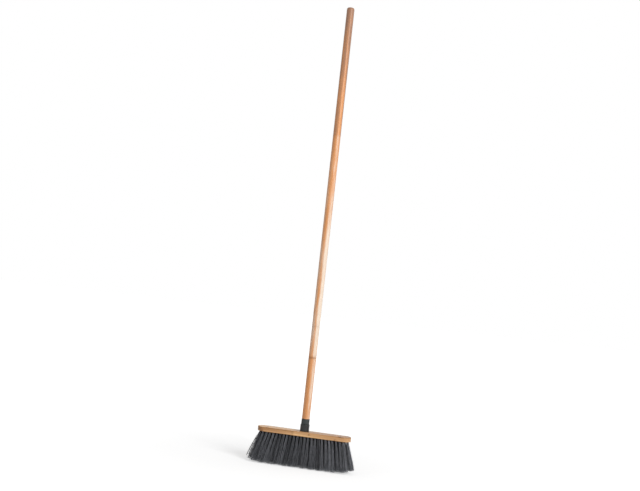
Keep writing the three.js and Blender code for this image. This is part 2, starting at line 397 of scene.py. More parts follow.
def turned(
    name: str, corners: Sequence[Corner], facets: int, arc_steps: int = 6, ring: bool = False
) -> bpy.types.Object:
    """Turns an outline about the Z axis.

    Args:
        name: The new piece's name.
        corners: The outline's corners.
        facets: Steps round the axis.
        arc_steps: Steps in each rounding.
        ring: True if the outline closes on itself, False if both its ends are on the axis.

    Returns:
        The closed piece.
    """
    shape = bmesh.new()
    angles = [2 * math.pi * step / facets for step in range(facets)]
    rings = []
    for radius, height in outline(corners, arc_steps):
        if radius < ON_AXIS:
            rings.append([shape.verts.new((0, 0, height))] * facets)
        else:
            spots = [(radius * math.cos(a), radius * math.sin(a), height) for a in angles]
            rings.append([shape.verts.new(spot) for spot in spots])
    if ring:
        rings.append(rings[0])
    bridge(shape, rings)
    bmesh.ops.recalc_face_normals(shape, faces=shape.faces)
    return piece_from(shape, name)


def smooth(piece: bpy.types.Object, sharp_from: float = 34.0) -> None:
    """Shades a piece smooth, apart from edges that turn by more than an angle in degrees."""
    piece.data.shade_smooth()
    piece.data.set_sharp_from_angle(angle=math.radians(sharp_from))


def dress(piece: bpy.types.Object, material: bpy.types.Material) -> None:
    """Gives a piece one material."""
    piece.data.materials.clear()
    piece.data.materials.append(material)


def mark_points(piece: bpy.types.Object, name: str, values: Sequence[Any], first: int = 0) -> None:
    """Stores a number or a vector on each point of a mesh, from one of them on.

    Args:
        piece: The piece.
        name: The attribute's name.
        values: The numbers or vectors.
        first: The first point that gets one.
    """
    is_vector = isinstance(values[0], Vector)
    marks = piece.data.attributes.new(name, "FLOAT_VECTOR" if is_vector else "FLOAT", "POINT")
    for mark, value in zip(marks.data[first:], values):
        setattr(mark, "vector" if is_vector else "value", value)


def drop_marks(piece: bpy.types.Object, *names: str) -> None:
    """Removes the attributes that a tree has read."""
    for name in names:
        left_over = piece.data.attributes.get(name)
        if left_over:
            piece.data.attributes.remove(left_over)


def seat(piece: bpy.types.Object, body: str, slot: str, *nodes: str) -> None:
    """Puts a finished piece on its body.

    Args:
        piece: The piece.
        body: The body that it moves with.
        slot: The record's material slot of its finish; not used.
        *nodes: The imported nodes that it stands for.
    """
    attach(piece, body)
    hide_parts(*nodes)
    LOG.info("%s: %d faces on %s", piece.name, len(piece.data.polygons), body)


# Effects that several finishes share

SKIN = {"Color": Kind.COLOUR, "Roughness": Kind.NUMBER, "Height": Kind.NUMBER}


@cache
def bamboo_grain() -> bpy.types.NodeTree:
    """Builds the grain of laminated bamboo: strips, fibres, dark bundles, joints and glue lines.

    Returns:
        The group. Its Vector has the fibres along Z, in metres.
    """
    numbers = dict.fromkeys(("Strip Width", "Strip Depth", "Joint Spacing", "Tone", "Ring"), Kind.NUMBER)
    colours = dict.fromkeys(("Pale", "Honey", "Deep", "Joint"), Kind.COLOUR)
    group = ShaderGroup("bamboo_grain", {"Vector": Kind.VECTOR, **numbers, **colours}, SKIN)
    value = group.inputs
    place = value["Vector"]
    x, y, z = group.split(place)
    across = group.math("DIVIDE", x, value["Strip Width"])
    layer = group.math("DIVIDE", y, value["Strip Depth"])
    strip = group.join(group.math("FLOOR", across), group.math("FLOOR", layer), 0.0)
    dice = group.node("ShaderNodeTexWhiteNoise", {"Vector": strip}, noise_dimensions="3D").outputs
    fibre = group.noise(place, (1500, 1500, 22), detail=3.0)
    bundle = group.ramp(group.noise(place, (1000, 1000, 55)), 0.58, 0.74)
    drift = group.noise(place, (70, 70, 7))
    patchy = group.ramp(group.noise(place, (260, 260, 120)), 0.3, 0.65, 0.3, 1.0)

    offset = group.split(dice["Color"])[0]
    turns = group.math("ADD", group.math("DIVIDE", z, value["Joint Spacing"]), offset)
    near = group.math("MULTIPLY", group.fold(turns), value["Joint Spacing"])
    ragged = group.total(near, (group.off_half(fibre), 4.0 * MM))
    joint = group.ramp(ragged, 0.0, 2.2 * MM, 1.0, 0.0)
    shoulder = group.ramp(ragged, 1.0 * MM, 9.0 * MM, 1.0, 0.0)
    seam = group.ramp(group.fold(across), 0.47, 0.5)

    tone = value["Tone"]
    for part, amount in ((dice["Value"], 0.45), (fibre, 0.9), (drift, 0.8)):
        tone = group.total(tone, (group.off_half(part), amount))
    tone = group.clamped(group.total(tone, (shoulder, 0.22)))
    colour = group.mix(group.ramp(tone, 0.0, 0.5), value["Pale"], value["Honey"])
    colour = group.mix(group.ramp(tone, 0.5, 1.0), colour, value["Deep"])
    mark = group.total(0.0, (bundle, 0.22), (joint, 0.55), (seam, 0.22), (value["Ring"], patchy))
    colour = group.mix(group.clamped(mark), colour, value["Joint"])
    rough = group.total(0.3, (fibre, 0.22))
    height = group.total(0.0, (fibre, 0.6), (bundle, -0.4), (seam, -0.5), (joint, -0.4))
    return group.close({"Color": colour, "Roughness": rough, "Height": height})


@cache
def mould_skin() -> bpy.types.NodeTree:
    """Builds the skin of moulded plastic: fine stipple, slow flow marks and the mould's parting line.

    Returns:
        The group. The parting line lies where the Vector's Y is 0.
    """
    inputs = {"Vector": Kind.VECTOR, "Colour": Kind.COLOUR, "Flow Colour": Kind.COLOUR, "Polish": Kind.NUMBER}
    group = ShaderGroup("mould_skin", inputs, SKIN)
    value = group.inputs
    place = value["Vector"]
    stipple = group.noise(place, (2600, 2600, 2600))
    flow = group.noise(place, (90, 90, 160), detail=3.0)
    off_seam = group.math("ABSOLUTE", group.split(place)[1])
    parting = group.ramp(off_seam, 0.1 * MM, 0.3 * MM, 1.0, 0.0)
    share = group.clamped(group.total(group.ramp(flow, 0.3, 0.75), (parting, 0.35)))
    colour = group.mix(share, value["Colour"], value["Flow Colour"])
    rough = group.total(value["Polish"], (stipple, 0.16), (flow, 0.1))
    height = group.total(0.0, (stipple, 0.4), (parting, 0.8))
    return group.close({"Color": colour, "Roughness": rough, "Height": height})


@cache
def handling_marks() -> bpy.types.NodeTree:
    """Builds the marks of handling: thin scratches and soft rubbed patches.

    Returns:
        The group. Rub is a mask of both, and Scratch is the scratches alone.
    """
    outputs = {"Rub": Kind.NUMBER, "Scratch": Kind.NUMBER}
    group = ShaderGroup("handling_marks", {"Vector": Kind.VECTOR, "Amount": Kind.NUMBER}, outputs)
    place, amount = group.inputs["Vector"], group.inputs["Amount"]
    slanted = group.node("ShaderNodeVectorRotate", {"Vector": place, "Angle": 0.5, "Axis": (0.4, 0.7, 0.6)})
    patch = group.ramp(group.noise(place, (45, 45, 18), detail=4.0), 0.5, 0.75)
    scratch = group.ramp(group.noise(slanted, (60, 2400, 400)), 0.66, 0.74)
    scratch = group.math("MULTIPLY", scratch, patch)
    both = group.total(scratch, (patch, 0.5))
    return group.close({
        "Rub": group.math("MULTIPLY", both, amount),
        "Scratch": group.math("MULTIPLY", scratch, amount),
    })


class Wear(NamedTuple):
    """The marks on a skin: how many, how far they dull it, their colour, and the skin's relief."""

    marks: float
    dulling: float
    colour: str
    relief: float


class MaterialDraft(ShaderWiring):
    """A material under way: its tree, its shader and its coordinates."""

    def __init__(self, name: str) -> None:
        """Starts a material with a bare Principled shader."""
        self.material = bpy.data.materials.new(name)
        self.material.use_nodes = True
        super().__init__(self.material.node_tree)
        self.tree.nodes.clear()
        self.shader = self.node("ShaderNodeBsdfPrincipled")
        self.node("ShaderNodeOutputMaterial", {"Surface": self.shader})
        self.place = self.node("ShaderNodeTexCoord").outputs["Object"]

    def group(self, tree: bpy.types.NodeTree, feeds: dict[str, Any]) -> bpy.types.bpy_prop_collection:
        """Places a shader group, feeds its inputs and returns its outputs."""
        return self.node("ShaderNodeGroup", feeds, node_tree=tree).outputs

    def set(self, feeds: dict[str, Any]) -> None:
        """Feeds or sets sockets of the shader."""
        for name, value in feeds.items():
            self.feed(self.shader.inputs[name], value)

    def bump(self, height: Any, distance: float, strength: float) -> None:
        """Raises the surface by a height.

        Args:
            height: The height, from 0 to 1.
            distance: The height of 1, in metres.
            strength: How much of it shows.
        """
        feeds = {"Height": height, "Distance": distance, "Strength": strength}
        self.set({"Normal": self.node("ShaderNodeBump", feeds)})

    def worn(self, tree: bpy.types.NodeTree, feeds: dict[str, Any], wear: Wear) -> None:
        """Gives the shader a skin with the marks of handling on it.

        Args:
            tree: The skin's group.
            feeds: What goes into the group's inputs.
            wear: The marks.
        """
        skin = self.group(tree, feeds)
        marks = self.group(handling_marks(), {"Vector": feeds["Vector"], "Amount": wear.marks})
        colour = self.mix(marks["Scratch"], skin["Color"], paint(wear.colour))
        rough = self.total(skin["Roughness"], (marks["Rub"], wear.dulling))
        self.set({"Base Color": colour, "Roughness": rough})
        self.bump(skin["Height"], wear.relief, strength=0.25)


# Finishes


class Internode(NamedTuple):
    """A stretch of cane: its foot, its tone and the painted light on its lit side at both ends, and its
    foot's ring.
    """

    foot: float
    low_tone: float
    high_tone: float
    low_bleach: float = 0.0
    high_bleach: float = 0.0
    ring: float = 0.2


class PaintedLightSide(NamedTuple):
    """Where a cane gets painted light, on the side that the light falls on: its axis, and where the painted
    light starts and where it is full.
    """

    axis: int
    start: float
    full: float


@dataclass(frozen=True)
class BambooFinish:
    """Satin varnish over laminated bamboo."""

    name: str
    grain: Grain
    pale: str
    honey: str
    deep: str
    joint: str
    strip_width: float
    strip_depth: float
    joint_spacing: float
    internodes: tuple[Internode, ...]
    end: float
    pale_side: PaintedLightSide
    varnish: float
    sheen: float
    varnish_roughness: float = 0.2
    ring_reach: float = 3.0 * MM
    ring_start: float = 8.0 * MM

    def tone(self, draft: MaterialDraft, along: Socket, side: Socket) -> tuple[Socket, Socket]:
        """Gives each stretch of cane its own tone, with painted light that makes the lit side paler, and a
        dark ring where two meet.

        Args:
            draft: The material under way.
            along: The place along the fibres, in metres.
            side: The place along the painted light's axis, in metres.

        Returns:
            The tone, from 0 for pale to 1 for deep, and how much of a ring there is.
        """
        first, last = self.internodes[0], self.internodes[-1]
        start = first.foot
        span = self.end - start
        ring, rise = self.ring_reach / span, self.ring_start / span
        place = draft.math("DIVIDE", draft.math("SUBTRACT", along, start), span)
        ramp = draft.node("ShaderNodeValToRGB", {0: place})
        stops = ramp.color_ramp.elements
        stops[0].position, stops[1].position = 0.0, 1.0
        stops[0].color = (first.low_tone, first.low_bleach, 0.0, 1.0)
        stops[1].color = (last.high_tone, last.high_bleach, 0.0, 1.0)
        for lower, upper in zip(self.internodes, self.internodes[1:]):
            foot = (upper.foot - start) / span
            stops.new(foot - rise).color = (lower.high_tone, lower.high_bleach, 0.0, 1.0)
            stops.new(foot - ring).color = (lower.high_tone, lower.high_bleach, upper.ring, 1.0)
            stops.new(foot + ring).color = (upper.low_tone, upper.low_bleach, 0.0, 1.0)
        tone, side_light, dark = draft.split(ramp)
        # Painted light: the ramp's second channel makes the lit side paler in the colour itself.
        painted_side_light = draft.math("MULTIPLY", draft.ramp(side, self.pale_side.start, self.pale_side.full), side_light)
        return draft.math("SUBTRACT", tone, painted_side_light), dark

    def material(self) -> bpy.types.Material:
        """Builds the material and returns it."""
        draft = MaterialDraft(self.name)
        turned_place = draft.node("ShaderNodeMapping", {"Vector": draft.place, "Rotation": self.grain.value})
        along = draft.split(turned_place)[2]
        tone, ring = self.tone(draft, along, draft.split(draft.place)[self.pale_side.axis])
        feeds = {
            "Vector": turned_place,
            "Strip Width": self.strip_width,
            "Strip Depth": self.strip_depth,
            "Joint Spacing": self.joint_spacing,
            "Tone": tone,
            "Ring": ring,
            "Pale": paint(self.pale),
            "Honey": paint(self.honey),
            "Deep": paint(self.deep),
            "Joint": paint(self.joint),
        }
        draft.worn(bamboo_grain(), feeds, Wear(marks=0.25, dulling=0.3, colour=self.joint, relief=0.25 * MM))
        draft.set({"Specular IOR Level": self.sheen})
        draft.set({"Coat Weight": self.varnish, "Coat Roughness": self.varnish_roughness})
        return draft.material


@dataclass(frozen=True)
class PlasticFinish:
    """Moulded plastic with its fine skin."""

    name: str
    colour: str
    flow: str
    polish: float
    coat: float
    sheen: float
    coat_roughness: float = 0.08
    wear: Wear = Wear(marks=0.3, dulling=0.25, colour="8c8f92", relief=0.12 * MM)

    def material(self) -> bpy.types.Material:
        """Builds the material and returns it."""
        draft = MaterialDraft(self.name)
        feeds = {
            "Vector": draft.place,
            "Colour": paint(self.colour),
            "Flow Colour": paint(self.flow),
            "Polish": self.polish,
        }
        draft.worn(mould_skin(), feeds, self.wear)
        draft.set({"Specular IOR Level": self.sheen})
        draft.set({"Coat Weight": self.coat, "Coat Roughness": self.coat_roughness})
        return draft.material


@dataclass(frozen=True)
class SteelFinish:
    """Zinc-plated steel of the small fasteners."""

    name: str
    colour: str
    tarnish: str
    marks: float = 0.8
    relief: float = 0.05 * MM

    def material(self) -> bpy.types.Material:
        """Builds the material and returns it."""
        draft = MaterialDraft(self.name)
        marks = draft.group(handling_marks(), {"Vector": draft.place, "Amount": self.marks})
        spangle = draft.noise(draft.place, (900, 900, 900), detail=3.0)
        share = draft.clamped(draft.total(draft.ramp(spangle, 0.4, 0.8), (marks["Rub"], 0.4)))
        colour = draft.mix(share, paint(self.colour), paint(self.tarnish))
        rough = draft.total(0.24, (share, 0.25))
        draft.set({"Base Color": colour, "Roughness": rough, "Metallic": 1.0})
        draft.bump(spangle, self.relief, strength=0.3)
        return draft.material


@dataclass(frozen=True)
class BristleFinish:
    """Dark plastic filaments, each with its own tone, which also carries painted shade in the inner rows, a
    little paler where their tips are worn.
    """

    name: str
    dark: str
    pale: str
    tip: str
    marks: float = 0.35
    relief: float = 0.04 * MM

    def material(self) -> bpy.types.Material:
        """Builds the material and returns it."""
        draft = MaterialDraft(self.name)
        tone = draft.node("ShaderNodeAttribute", attribute_name="tone").outputs["Fac"]
        along = draft.node("ShaderNodeAttribute", attribute_name="along").outputs["Fac"]
        marks = draft.group(handling_marks(), {"Vector": draft.place, "Amount": self.marks})
        streak = draft.noise(draft.place, (700, 700, 60))
        share = draft.clamped(draft.math("MULTIPLY", tone, draft.ramp(streak, 0.2, 0.8, 0.4, 1.6)))
        worn = draft.math("MULTIPLY", draft.ramp(along, 0.9, 1.0), draft.total(0.2, (tone, 0.5)))
        colour = draft.mix(share, paint(self.dark), paint(self.pale))
        colour = draft.mix(worn, colour, paint(self.tip))
        rough = draft.total(0.36, (share, 0.16), (marks["Rub"], 0.4))
        gloss = draft.ramp(tone, 0.0, 0.3, 0.03, 0.34)
        draft.set({"Base Color": colour, "Roughness": rough, "Specular IOR Level": gloss})
        draft.bump(streak, self.relief, strength=0.3)
        return draft.material


STICK_FINISH = BambooFinish(
    name="bamboo_stick_varnished",
    grain=Grain.UPRIGHT,
    pale="fee8d2",
    honey="eba267",
    deep="aa8068",
    joint="6d3f24",
    strip_width=6.6 * MM,
    strip_depth=12.0 * MM,
    joint_spacing=9.0,
    internodes=(
        Internode(0.13, 0.8, 0.7, 0.38, 0.4),
        Internode(0.311, 0.56, 0.49, 0.42, 0.54, ring=0.6),
        Internode(0.4, 0.51, 0.5, 0.66, 0.12),
        Internode(0.733, 0.48, 0.62, 0.1, 0.1, ring=0.05),
        Internode(0.947, 0.81, 1.12, 0.02, 0.06, ring=0.25),
    ),
    end=1.33,
    # Painted light: the +X side, which faces the key lamp, is made paler in the colour.
    pale_side=PaintedLightSide(0, -2.0 * MM, 11.0 * MM),
    varnish=0.1,
    sheen=0.3,
)
BLOCK_FINISH = BambooFinish(
    name="bamboo_block_varnished",
    grain=Grain.ALONG_BLOCK,
    pale="f6c68e",
    honey="d4a271",
    deep="a37144",
    joint="6f4627",
    strip_width=5.4 * MM,
    strip_depth=21.0 * MM,
    joint_spacing=0.21,
    internodes=(Internode(-0.134, 0.95, 0.6, 1.2, 0.6), Internode(-0.027, 0.34, 0.56)),
    end=0.134,
    # Painted light: the top face is made paler in the colour, as lit from above.
    pale_side=PaintedLightSide(2, 98.6 * MM, 99.8 * MM),
    varnish=0.12,
    sheen=0.3,
)
SLEEVE_FINISH = PlasticFinish("grey_satin_plastic", "3a3f3f", "434848", polish=0.34, coat=0.0, sheen=0.22)
THREAD_FINISH = PlasticFinish("dark_matte_plastic", "3a3b3e", "46474a", polish=0.38, coat=0.0, sheen=0.4)
SOCKET_FINISH = PlasticFinish("black_glossy_plastic", "1c1e1f", "242627", polish=0.16, coat=0.12, sheen=0.32)
STEEL_FINISH = SteelFinish("zinc_plated_steel", "c9cacc", "8d9092")
BRISTLE_FINISH = BristleFinish("dark_bristle", "161719", "a0a2a9", "a6a8ad")


# Sub-assemblies


@cache
def screw_thread() -> GeometryTree:
    """Builds the tree that winds a right-hand thread on a turned wall.

    Returns:
        The tree. A negative Depth winds the thread inwards, into a bore.
    """
    crest, valley, slack = 0.12, 0.27, 0.02 * MM
    sizes = ("Wall Radius", "Depth", "Pitch", "Low", "High", "Fade", "Phase")
    tree = GeometryTree("screw_thread", dict.fromkeys(sizes, Kind.NUMBER))
    size = tree.inputs
    x, y, z = tree.split(tree.place())
    spoke = tree.join(x, y, 0.0)
    turn = tree.math("DIVIDE", tree.math("ARCTAN2", y, x), 2 * math.pi)
    turns = tree.math("SUBTRACT", tree.math("DIVIDE", z, size["Pitch"]), turn)
    ridge = tree.ramp(tree.fold(tree.math("ADD", turns, size["Phase"])), crest, valley, 1.0, 0.0)
    below = tree.math("DIVIDE", tree.math("SUBTRACT", z, size["Low"]), size["Fade"])
    above = tree.math("DIVIDE", tree.math("SUBTRACT", size["High"], z), size["Fade"])
    fade = tree.math("MULTIPLY", tree.ramp(below, 0.0, 1.0), tree.ramp(above, 0.0, 1.0))
    off_wall = tree.math("ABSOLUTE", tree.math("SUBTRACT", tree.length(spoke), size["Wall Radius"]))
    on_wall = tree.math("LESS_THAN", off_wall, slack)
    lift = tree.math("MULTIPLY", tree.math("MULTIPLY", ridge, fade), size["Depth"])
    offset = tree.scaled(tree.vector("NORMALIZE", spoke), tree.math("MULTIPLY", lift, on_wall))
    return tree.close(tree.node("GeometryNodeSetPosition", {"Geometry": size["Geometry"], "Offset": offset}))


class Thread(NamedTuple):
    """A screw thread on a turned wall, which fades out at its low and its high end."""

    wall_radius: float
    depth: float
    pitch: float
    low: float
    high: float
    fade: float
    phase: float = 0.0

    def wind(self, piece: bpy.types.Object, finish: bpy.types.Material) -> None:
        """Winds the thread on a piece and gives the piece its material."""
        screw_thread().run(piece, {**as_inputs(self._asdict()), "Material": finish})


@dataclass(frozen=True)
class Handle:
    """The stick, the threaded end in its foot and the pin that locks them."""

    radius: float = 11.0 * MM
    top: float = 1322.9 * MM
    end_round: float = 6.0 * MM
    edge_round: float = 0.4 * MM
    shoulder: float = 135.4 * MM
    foot: float = 122.9 * MM
    foot_round: float = 0.5 * MM
    tenon_radius: float = 9.7 * MM
    bore_radius: float = 5.3 * MM
    bore_top: float = 149.2 * MM
    thread_foot: float = 107.6 * MM
    thread_top: float = 119.8 * MM
    thread_lead: float = 0.8 * MM
    thread_neck: float = 0.4 * MM
    thread_fade: float = 2.0 * MM
    flange_top: float = 122.6 * MM
    flange_round: float = 0.3 * MM
    core_radius: float = 8.6 * MM
    crest_radius: float = 10.0 * MM
    pitch: float = 4.2 * MM
    shank_radius: float = 5.0 * MM
    shank_top: float = 148.9 * MM
    shank_round: float = 0.8 * MM
    pin_radius: float = 1.5 * MM
    pin_reach: float = 9.4 * MM
    pin_height: float = 129.15 * MM

    def build(self) -> None:
        """Builds and seats the three pieces."""
        self.stick()
        self.threaded_end()
        self.pin()

    def stick(self) -> None:
        """Builds the turned stick with its rounded top, its tenon and the bore for the shank."""
        corners = [
            Corner(0.0, self.top),
            Corner(self.radius, self.top, self.end_round, steps=24),
            Corner(self.radius, self.shoulder, self.edge_round),
            Corner(self.tenon_radius, self.shoulder),
            Corner(self.tenon_radius, self.foot, self.foot_round),
            Corner(self.bore_radius, self.foot),
            Corner(self.bore_radius, self.bore_top),
            Corner(0.0, self.bore_top),
        ]
        piece = turned("stick", corners, facets=72, arc_steps=10)
        smooth(piece)
        dress(piece, STICK_FINISH.material())
        seat(piece, "handle", "bamboo_stick", "handle_stick")

    def threaded_end(self) -> None:
        """Builds the male thread, its flange and its shank."""
        neck = self.thread_top - self.thread_neck
        corners = [
            Corner(0.0, self.thread_foot),
            Corner(self.core_radius, self.thread_foot, self.thread_lead, steps=76),
            Corner(self.core_radius, neck),
            Corner(self.tenon_radius, self.thread_top),
            Corner(self.tenon_radius, self.flange_top, self.flange_round),
            Corner(self.shank_radius, self.flange_top),
            Corner(self.shank_radius, self.shank_top, self.shank_round),
            Corner(0.0, self.shank_top),
        ]
        piece = turned("threaded_plug", corners, facets=72)
        depth = self.crest_radius - self.core_radius
        low = self.thread_foot + self.thread_lead
        thread = Thread(self.core_radius, depth, self.pitch, low, neck, self.thread_fade)
        thread.wind(piece, THREAD_FINISH.material())
        smooth(piece)
        seat(piece, "handle", "dark_plastic", "threaded_end")

    def pin(self) -> None:
        """Builds the pin across the stick's foot."""
        corners = [
            Corner(0.0, -self.pin_reach),
            Corner(self.pin_radius, -self.pin_reach, self.edge_round, steps=4),
            Corner(self.pin_radius, self.pin_reach, self.edge_round),
            Corner(0.0, self.pin_reach),
        ]
        piece = turned("cross_pin", corners, facets=32)
        lying = Matrix.Rotation(math.pi / 2, 4, "Y")
        piece.data.transform(Matrix.Translation((0.0, 0.0, self.pin_height)) @ lying)
        smooth(piece)
        dress(piece, STEEL_FINISH.material())
        seat(piece, "handle", "steel", "locking_pin")


@dataclass(frozen=True)
class Sleeve:
    """The grey sleeve over the foot of the stick."""

    radius: float = 11.5 * MM
    bore: float = 10.0 * MM
    low: float = 120.1 * MM
    high: float = 135.1 * MM
    rounding: float = 0.5 * MM
    bore_round: float = 0.2 * MM

    def build(self) -> None:
        """Builds and seats the sleeve."""
        corners = [
            Corner(self.bore, self.low),
            Corner(self.radius, self.low, self.rounding, steps=6),
            Corner(self.radius, self.high, self.rounding),
            Corner(self.bore, self.high, self.bore_round, steps=6),
        ]
        piece = turned("foot_sleeve", corners, facets=96, ring=True)
        smooth(piece)
        dress(piece, SLEEVE_FINISH.material())
        seat(piece, "sleeve", "grey_plastic", "ferrule_sleeve")


@cache
def screw_set() -> GeometryTree:
    """Builds the tree that cuts a cross into a screw's head and sets the screw in a line of places.

    Returns:
        The tree.
    """
    places = {"Count": Kind.COUNT, "First Place": Kind.VECTOR, "Step": Kind.VECTOR}
    sizes = dict.fromkeys(("Slot Length", "Slot Width", "Slot Depth", "Head Foot"), Kind.NUMBER)
    tree = GeometryTree("screw_set", places | sizes)
    size = tree.inputs
    deep = tree.math("MULTIPLY", size["Slot Depth"], 2.0)
    long, wide = size["Slot Length"], size["Slot Width"]
    lift = tree.join(0.0, 0.0, size["Head Foot"])
    cut = tree.node("GeometryNodeMeshBoolean", {"Mesh 1": size["Geometry"]}, operation="DIFFERENCE")
    for bulk in (tree.join(long, wide, deep), tree.join(wide, long, deep)):
        bar = tree.node("GeometryNodeMeshCube", {"Size": bulk})
        bar = tree.node("GeometryNodeTransform", {"Geometry": bar, "Translation": lift})
        tree.feed(cut.inputs["Mesh 2"], bar)
    feeds = {"Count": size["Count"], "Start Location": size["First Place"], "Offset": size["Step"]}
    line = tree.node("GeometryNodeMeshLine", feeds)
    return tree.close(tree.node("GeometryNodeInstanceOnPoints", {"Points": line, "Instance": cut}))


@dataclass(frozen=True)
class HandleCup:
    """The black socket on the board and the two screws that hold it."""

    radius: float = 13.0 * MM
    bore: float = 10.4 * MM
    low: float = 100.3 * MM
    high: float = 119.8 * MM
    base: float = 106.3 * MM
    foot_round: float = 0.4 * MM
    rim_round: float = 0.8 * MM
    mouth_round: float = 0.5 * MM
    pitch: float = 4.2 * MM
    thread_depth: float = 1.2 * MM
    thread_start: float = 0.5 * MM
    thread_end: float = 1.0 * MM
    thread_fade: float = 2.0 * MM
    screw_place: float = 9.8 * MM
    screw_core: float = 1.25 * MM
    screw_crest: float = 1.75 * MM
    screw_pitch: float = 1.3 * MM
    screw_plain: float = 3.0 * MM
    screw_end: float = 2.4 * MM
    screw_fade: float = 1.0 * MM
    screw_tip: float = 103.9 * MM
    tip_length: float = 2.5 * MM
    head_radius: float = 3.3 * MM
    head_foot: float = 87.8 * MM
    head_round: float = 1.1 * MM
    head_seat: float = 90.0 * MM
    seat_round: float = 0.2 * MM
    slot_length: float = 3.6 * MM
    slot_width: float = 0.8 * MM
    slot_depth: float = 1.1 * MM

    def build(self) -> None:
        """Builds and seats the socket and the screws."""
        self.cup()
        self.screws()

    def cup(self) -> None:
        """Builds the cup with its female thread, which runs between the ridges of the male one."""
        corners = [
            Corner(0.0, self.low),
            Corner(self.radius, self.low, self.foot_round, steps=8),
            Corner(self.radius, self.high, self.rim_round),
            Corner(self.bore, self.high, self.mouth_round, steps=76),
            Corner(self.bore, self.base),
            Corner(0.0, self.base),
        ]
        piece = turned("handle_cup", corners, facets=96)
        low, high = self.base + self.thread_start, self.high - self.thread_end
        thread = Thread(self.bore, -self.thread_depth, self.pitch, low, high, self.thread_fade, phase=0.5)
        thread.wind(piece, SOCKET_FINISH.material())
        smooth(piece)
        seat(piece, "head", "black_plastic", "handle_socket")

    def screws(self) -> None:
        """Builds the two screws, driven up through the board."""
        corners = [
            Corner(0.0, self.head_foot),
            Corner(self.head_radius, self.head_foot, self.head_round),
            Corner(self.head_radius, self.head_seat, self.seat_round),
            Corner(self.screw_core, self.head_seat, self.seat_round, steps=70),
            Corner(self.screw_core, self.screw_tip - self.tip_length),
            Corner(0.0, self.screw_tip),
        ]
        piece = turned("socket_screws", corners, facets=28)
        finish = STEEL_FINISH.material()
        depth = self.screw_crest - self.screw_core
        low, high = self.head_seat + self.screw_plain, self.screw_tip - self.screw_end
        Thread(self.screw_core, depth, self.screw_pitch, low, high, self.screw_fade).wind(piece, finish)
        screw_set().run(piece, {
            **as_inputs(vars(self)),
            "Count": 2,
            "First Place": (-self.screw_place, 0.0, 0.0),
            "Step": (2 * self.screw_place, 0.0, 0.0),
            "Material": finish,
        })
        smooth(piece)
        seat(piece, "head", "steel", "socket_screw_left", "socket_screw_right")


class Tuft(NamedTuple):
    """A tuft's root at the board's underside and the way from there to its tip."""

    root: Vector
    lean: Vector


@dataclass(frozen=True)
class TuftField:
    """Where the tufts stand in the board and how they fan out."""

    board_foot: float = 87.0 * MM
    half_straight: float = 113.0 * MM
    end_radius: float = 14.0 * MM
    pitch: float = 9.9 * MM
    outer_row: float = 13.35 * MM
    end_flare: float = math.radians(14.2)
    side_flare: float = math.radians(8)
    hole_radius: float = 2.9 * MM
    hole_depth: float = 8.5 * MM

    def row_reach(self, y: float) -> float:
        """Returns the furthest place along the board for a tuft in a row."""
        return self.half_straight + math.sqrt(max(0.0, self.end_radius ** 2 - y ** 2))

    @property
    def tuft_reach(self) -> float:
        """The furthest place of any tuft."""
        return max(self.row_reach(row.value) for row in Row)

    @property
    def tip_reach(self) -> float:
        """The furthest place of any tuft's tip."""
        return self.tuft_reach + self.board_foot * math.tan(self.end_flare)

    def tufts(self, row: Row) -> list[Tuft]:
        """Lists the tufts of a row.

        Args:
            row: The row.

        Returns:
            Its tufts, from one end of the board to the other.
        """
        columns = math.floor((self.row_reach(row.value) - self.pitch / 2) / self.pitch) + 1
        across = self.board_foot * math.tan(self.side_flare * row.value / self.outer_row)
        tufts = []
        for column in range(-columns, columns):
            x = (column + 0.5) * self.pitch
            along = self.board_foot * math.tan(self.end_flare * x / self.tuft_reach)
            root = Vector((x, row.value, self.board_foot))
            tufts.append(Tuft(root, Vector((along, across, -self.board_foot))))
        return tufts


@cache
def drilled_board() -> GeometryTree:
    """Builds the tree that drills a board straight up from its loose points.

    Returns:
        The tree. Each loose point has a bore's radius and depth as attributes.
    """
    tree = GeometryTree("drilled_board", {"Facets": Kind.COUNT, "Overrun": Kind.NUMBER})
    size = tree.inputs
    radius = tree.attribute("bore_radius")
    depth = tree.math("ADD", tree.attribute("bore_depth"), size["Overrun"])
    loose = tree.math("GREATER_THAN", radius, 0.0)
    feeds = {"Geometry": size["Geometry"], "Selection": loose}
    parts = tree.node("GeometryNodeSeparateGeometry", feeds, domain="POINT").outputs
    drill = tree.node("GeometryNodeMeshCylinder", {"Vertices": size["Facets"], "Radius": 1.0, "Depth": 1.0})
    drill = tree.node("GeometryNodeTransform", {"Geometry": drill, "Translation": (0.0, 0.0, 0.5)})
    feeds = {"Points": parts["Selection"], "Instance": drill, "Scale": tree.join(radius, radius, depth)}
    drills = tree.node("GeometryNodeInstanceOnPoints", feeds)
    drills = tree.node("GeometryNodeRealizeInstances", {"Geometry": drills})
    feeds = {"Mesh 1": parts["Inverted"], "Mesh 2": drills}
    return tree.close(tree.node("GeometryNodeMeshBoolean", feeds, operation="DIFFERENCE", solver="MANIFOLD"))


class Bore(NamedTuple):
    """A drilled hole: where it starts, its radius and its depth."""

    start: Vector
    radius: float
    depth: float


